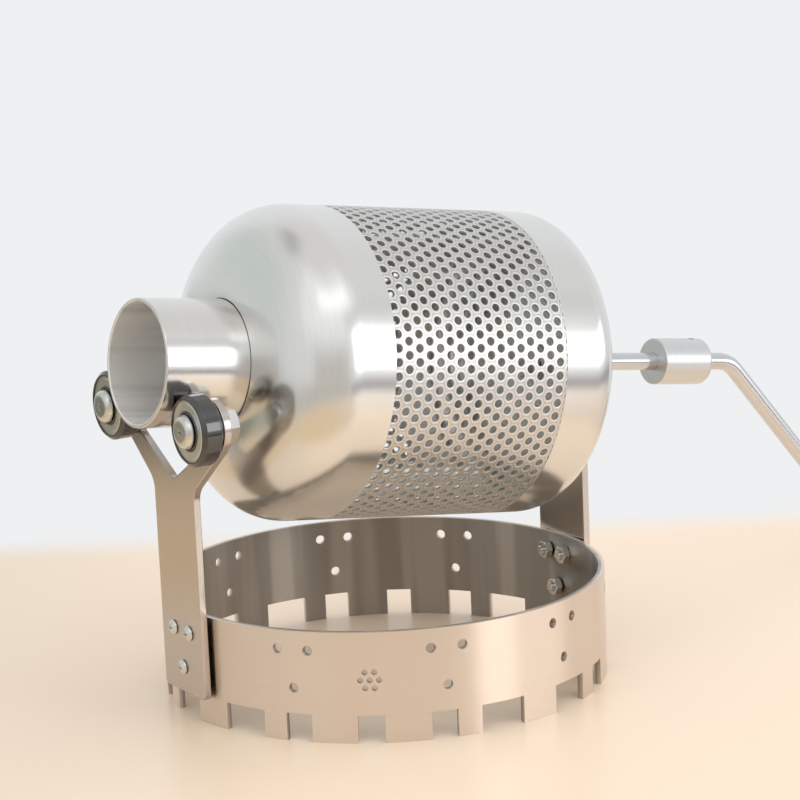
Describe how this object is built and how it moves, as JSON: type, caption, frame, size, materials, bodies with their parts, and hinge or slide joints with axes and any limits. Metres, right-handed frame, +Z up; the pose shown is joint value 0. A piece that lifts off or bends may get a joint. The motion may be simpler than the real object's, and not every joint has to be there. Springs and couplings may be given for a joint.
{
  "type": "stovetop coffee bean roaster",
  "caption": "Hand cranked stovetop coffee roaster: a perforated steel drum with a neck turns on two rollers above a notched ring stand.",
  "frame": {"origin": "centre of the stand ring at the height of its feet, on the hob", "axes": "+Z up; +X along the stand from the fork under the neck towards the crank; the drum's axis lies in the XZ plane and its mouth faces -X"},
  "size_m": [0.3684, 0.145, 0.1586],
  "materials": {
    "brushed_plate": "brushed sheet steel",
    "spun_steel": "satin polished spun steel",
    "turned_steel": "steel tube brushed round its axis",
    "perforated_steel": "punched and rolled bright sheet",
    "polished_rod": "bright drawn rod",
    "satin_collar": "satin",
    "beech_grip": "oiled beech",
    "black_race": "gloss black oxide",
    "bearing_steel": "ground and hardened",
    "shield_steel": "pressed sheet",
    "brass_bush": "turned",
    "zinc_fastener": "bright plated",
    "dark_set_screw": "black oxide"
  },
  "bodies": {
    "root": {"stand_ring": "brushed_plate", "front_upright": "brushed_plate", "rear_upright": "brushed_plate", "front_upright_screws": "zinc_fastener", "front_upright_nuts": "zinc_fastener", "rear_upright_screws": "zinc_fastener", "rear_upright_nuts": "zinc_fastener", "left_inner_race": "bearing_steel", "left_roller_bush": "brass_bush", "left_roller_washer": "zinc_fastener", "left_roller_screw": "zinc_fastener", "left_roller_nut": "zinc_fastener", "right_inner_race": "bearing_steel", "right_roller_bush": "brass_bush", "right_roller_washer": "zinc_fastener", "right_roller_screw": "zinc_fastener", "right_roller_nut": "zinc_fastener"},
    "drum": {"neck_tube": "turned_steel", "front_dome": "spun_steel", "perforated_sheet": "perforated_steel", "rear_cap": "spun_steel", "mixing_vanes": "spun_steel", "drum_shaft": "polished_rod", "shaft_inner_nut": "zinc_fastener", "shaft_outer_nut": "zinc_fastener", "shaft_washers": "zinc_fastener", "thrust_collar": "satin_collar", "coupling_collar": "satin_collar", "coupling_set_screws": "dark_set_screw", "crank_rod": "polished_rod", "grip_washers": "zinc_fastener", "grip_cap_nut": "zinc_fastener"},
    "grip": {"wooden_grip": "beech_grip"},
    "left_roller": {"left_outer_race": "black_race", "left_bearing_shields": "shield_steel"},
    "left_cage": {"left_bearing_balls": "bearing_steel", "left_ball_cage": "bearing_steel"},
    "right_roller": {"right_outer_race": "black_race", "right_bearing_shields": "shield_steel"},
    "right_cage": {"right_bearing_balls": "bearing_steel", "right_ball_cage": "bearing_steel"}
  },
  "joints": [
    {"name": "drum_spin", "type": "hinge", "parent": "root", "child": "drum", "pos_m": [0, 0, 0.1043], "axis": [0.9912, 0, -0.1323], "continuous": true},
    {"name": "grip_spin", "type": "hinge", "parent": "drum", "child": "grip", "pos_m": [0.23998, 0, 0.02386], "axis": [0.9912, 0, -0.1323], "continuous": true},
    {"name": "left_roller_spin", "type": "hinge", "parent": "root", "child": "left_roller", "pos_m": [-0.0795, 0.02661, 0.098], "axis": [1, 0, 0], "continuous": true},
    {"name": "left_cage_spin", "type": "hinge", "parent": "root", "child": "left_cage", "pos_m": [-0.0795, 0.02661, 0.098], "axis": [1, 0, 0], "continuous": true},
    {"name": "right_roller_spin", "type": "hinge", "parent": "root", "child": "right_roller", "pos_m": [-0.0795, -0.02661, 0.098], "axis": [1, 0, 0], "continuous": true},
    {"name": "right_cage_spin", "type": "hinge", "parent": "root", "child": "right_cage", "pos_m": [-0.0795, -0.02661, 0.098], "axis": [1, 0, 0], "continuous": true}
  ],
  "couplings": [
    {"joint": "left_roller_spin", "follows": "drum_spin", "ratio": -1.8182},
    {"joint": "left_cage_spin", "follows": "drum_spin", "ratio": -1.1419},
    {"joint": "right_roller_spin", "follows": "drum_spin", "ratio": -1.8182},
    {"joint": "right_cage_spin", "follows": "drum_spin", "ratio": -1.1419}
  ]
}
